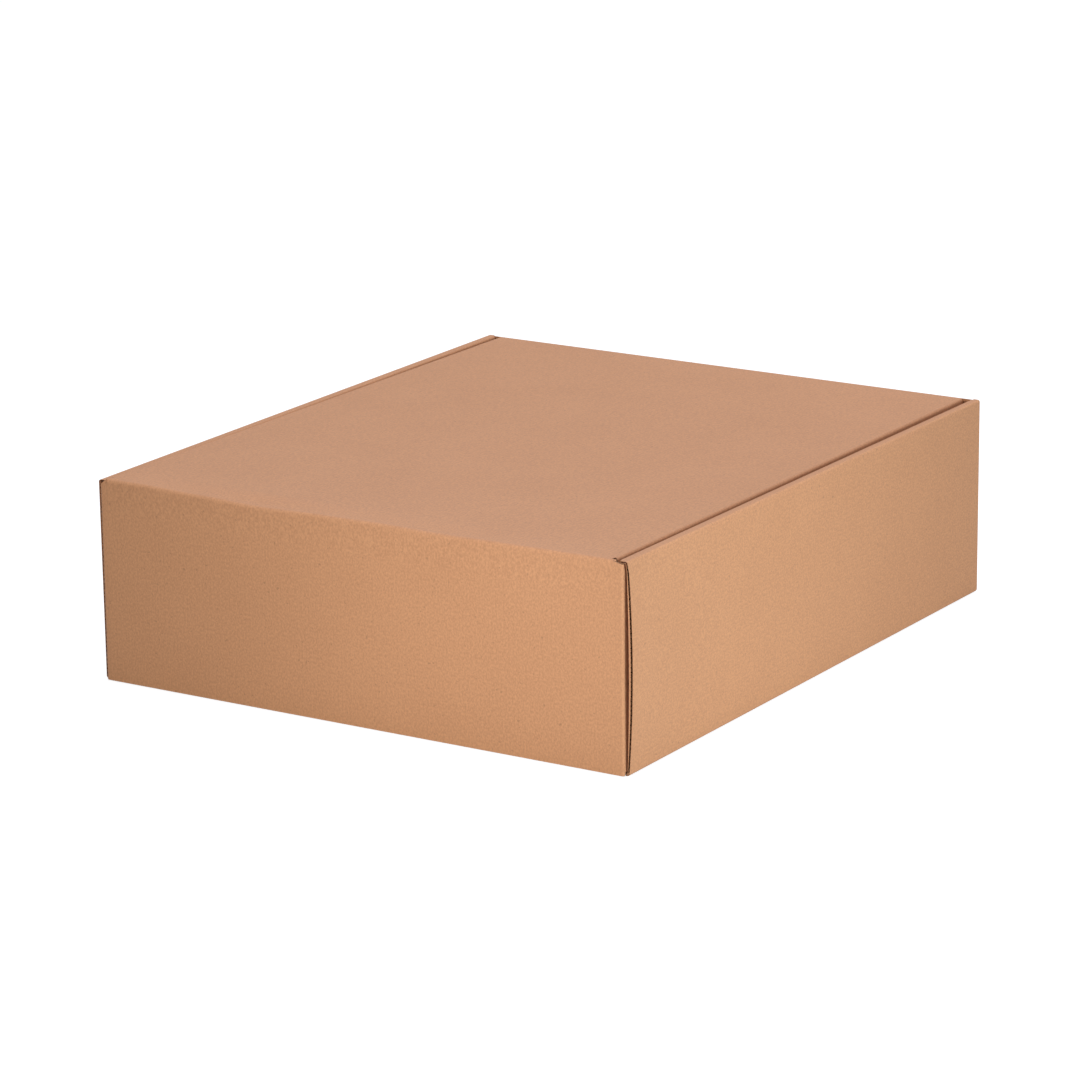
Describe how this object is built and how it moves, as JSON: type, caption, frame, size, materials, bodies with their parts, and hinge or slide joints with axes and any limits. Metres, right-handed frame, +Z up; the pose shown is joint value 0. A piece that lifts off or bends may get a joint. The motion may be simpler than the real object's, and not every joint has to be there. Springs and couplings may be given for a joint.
{
  "type": "closed cardboard mailer box",
  "caption": "Closed roll-end mailer box folded from one sheet of kraft corrugated board, with a front flap that opens.",
  "frame": {"origin": "middle of the footprint, on the surface that the box stands on", "axes": "+Z up, -Y towards the side with the front flap, +X to the right seen from that side"},
  "size_m": [0.4229, 0.492, 0.1435],
  "materials": {
    "kraft_board": "matt kraft liner with a faint fibre speckle"
  },
  "bodies": {
    "box": {"box_body": "kraft_board"},
    "flap": {"front_flap": "kraft_board"}
  },
  "joints": [
    {"name": "front_flap_crease", "type": "hinge", "parent": "box", "child": "flap", "pos_m": [0, -0.2452, 0.1427], "axis": [-1, 0, 0], "range_deg": [0, 180]}
  ]
}
